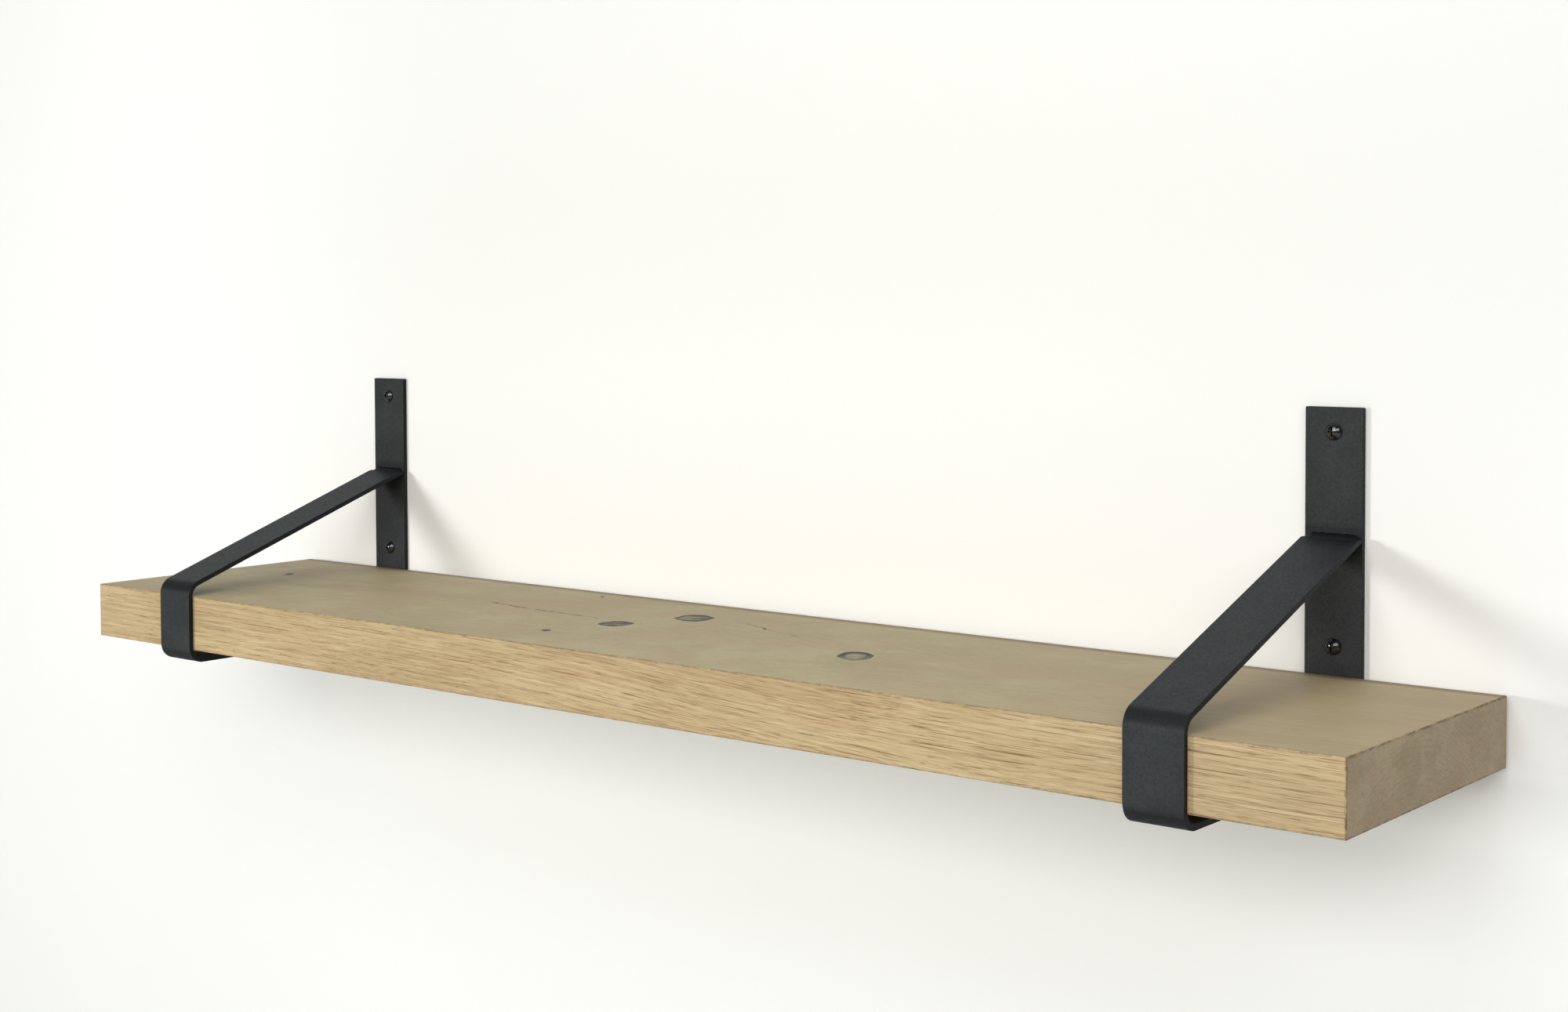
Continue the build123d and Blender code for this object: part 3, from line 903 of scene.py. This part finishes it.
half = STAGE_HALF_WIDTH
wall_top = FLOOR_Z + WALL_HEIGHT
wall_corners = [
    (-half, WALL_OFFSET, FLOOR_Z),
    (half, WALL_OFFSET, FLOOR_Z),
    (half, WALL_OFFSET, wall_top),
    (-half, WALL_OFFSET, wall_top),
]
floor_corners = [
    (-half, -half, FLOOR_Z),
    (half, -half, FLOOR_Z),
    (half, half, FLOOR_Z),
    (-half, half, FLOOR_Z),
]
wall = sheet_object("stage_wall", wall_corners, plaster_material())
sheet_object("stage_floor", floor_corners, floor_material())
# the wall takes light and shadow but gives none back, so the shelf's back is lit from behind
wall.visible_shadow = False
wall.visible_diffuse = False
wall.visible_glossy = False
wall.visible_transmission = False


# --- light -------------------------------------------------------------------------------
def soft_light(name, place, target, width, height, power, colour):
    """Rectangular studio light at a place, turned to its target and unseen by the camera."""
    data = bpy.data.lights.new(name, "AREA")
    data.shape = "RECTANGLE"
    data.size = width
    data.size_y = height
    data.energy = power
    data.color = colour
    lamp = bpy.data.objects.new(name, data)
    lamp.location = place
    lamp.rotation_euler = (Vector(target) - Vector(place)).to_track_quat("-Z", "Y").to_euler()
    lamp.visible_camera = False
    bpy.context.scene.collection.objects.link(lamp)


AIM = (0.1, -0.1, -0.1)
WALL_AIM = (0.35, 0.0, 0.15)
WHITE = (1.0, 1.0, 1.0)
# name, place, target, width and height in metres, power in watts, colour
LIGHTS = (
    ("key", (-1.43, -2.35, 0.08), AIM, 0.5, 0.5, 28.5, (1.0, 1.0, 0.985)),
    ("right_fill", (2.6, -2.2, 1.4), AIM, 2.0, 1.4, 28.0, WHITE),
    ("front_fill", (0.8, -3.8, 1.35), AIM, 2.6, 1.0, 54.0, WHITE),
    ("overhead", (0.1, -1.6, 2.6), AIM, 2.6, 2.0, 2.0, WHITE),
    ("wall_wash", (0.45, -1.2, 1.0), WALL_AIM, 0.9, 0.5, 4.3, WHITE),
)
for light in LIGHTS:
    soft_light(*light)

ROOM_STRENGTH = 0.08
WALL_GLOW_STRENGTH = 0.78
WALL_GLOW_EDGE = 0.02
SKY_COLOUR = (0.985, 0.995, 1.0, 1.0)
BACKDROP_STRENGTH = 0.7


def make_world():
    """Dim room in front, and from the wall's side the light that a white wall gives back."""
    world = bpy.data.worlds.new("studio")
    world.use_nodes = True
    tree = world.node_tree
    place = tree.nodes.new("ShaderNodeTexCoord")
    split = tree.nodes.new("ShaderNodeSeparateXYZ")
    tree.links.new(place.outputs["Generated"], split.inputs[0])
    share = tree.nodes.new("ShaderNodeMapRange")
    tree.links.new(split.outputs["Y"], share.inputs["Value"])
    for name, value in (
        ("From Min", -WALL_GLOW_EDGE),
        ("From Max", WALL_GLOW_EDGE),
        ("To Min", ROOM_STRENGTH),
        ("To Max", WALL_GLOW_STRENGTH),
    ):
        share.inputs[name].default_value = value
    # what the camera sees past the stage is a pale backdrop
    seen = tree.nodes.new("ShaderNodeLightPath").outputs["Is Camera Ray"]
    backdrop = tree.nodes.new("ShaderNodeMath")
    backdrop.operation = "MULTIPLY"
    tree.links.new(seen, backdrop.inputs[0])
    backdrop.inputs[1].default_value = BACKDROP_STRENGTH
    strength = tree.nodes.new("ShaderNodeMath")
    strength.operation = "MAXIMUM"
    tree.links.new(share.outputs[0], strength.inputs[0])
    tree.links.new(backdrop.outputs[0], strength.inputs[1])
    background = tree.nodes["Background"]
    background.inputs["Color"].default_value = SKY_COLOUR
    tree.links.new(strength.outputs[0], background.inputs["Strength"])
    bpy.context.scene.world = world


make_world()

bpy.context.scene.view_settings.view_transform = "Standard"


# --- camera ------------------------------------------------------------------------------
CAMERA_PLACE = (1.0698, -1.3091, 0.1559)
# degrees
CAMERA_AZIMUTH = 39.21
CAMERA_ELEVATION = -2.01
CAMERA_ROLL = -0.21
# lens and sensor in mm, and the upright shift in sensor widths
CAMERA_LENS = 49.43
CAMERA_SENSOR = 36.0
CAMERA_SHIFT_Y = -0.0825
CAMERA_CLIP_START = 0.01


def make_camera():
    """Camera at the photograph's place, turned about the upright axis, tilted and rolled."""
    azimuth = math.radians(CAMERA_AZIMUTH)
    elevation = math.radians(CAMERA_ELEVATION)
    roll = math.radians(CAMERA_ROLL)
    forward = Vector((
        -math.sin(azimuth) * math.cos(elevation),
        math.cos(azimuth) * math.cos(elevation),
        math.sin(elevation),
    ))
    level_right = Vector((math.cos(azimuth), math.sin(azimuth), 0.0))
    level_up = level_right.cross(forward)
    right = level_right * math.cos(roll) + level_up * math.sin(roll)
    up = level_up * math.cos(roll) - level_right * math.sin(roll)
    data = bpy.data.cameras.new("camera")
    data.lens = CAMERA_LENS
    data.sensor_width = CAMERA_SENSOR
    data.shift_y = CAMERA_SHIFT_Y
    data.clip_start = CAMERA_CLIP_START
    camera = bpy.data.objects.new("camera", data)
    basis = Matrix((right, up, -forward)).transposed()
    camera.matrix_world = Matrix.Translation(CAMERA_PLACE) @ basis.to_4x4()
    bpy.context.scene.collection.objects.link(camera)
    bpy.context.scene.camera = camera


make_camera()
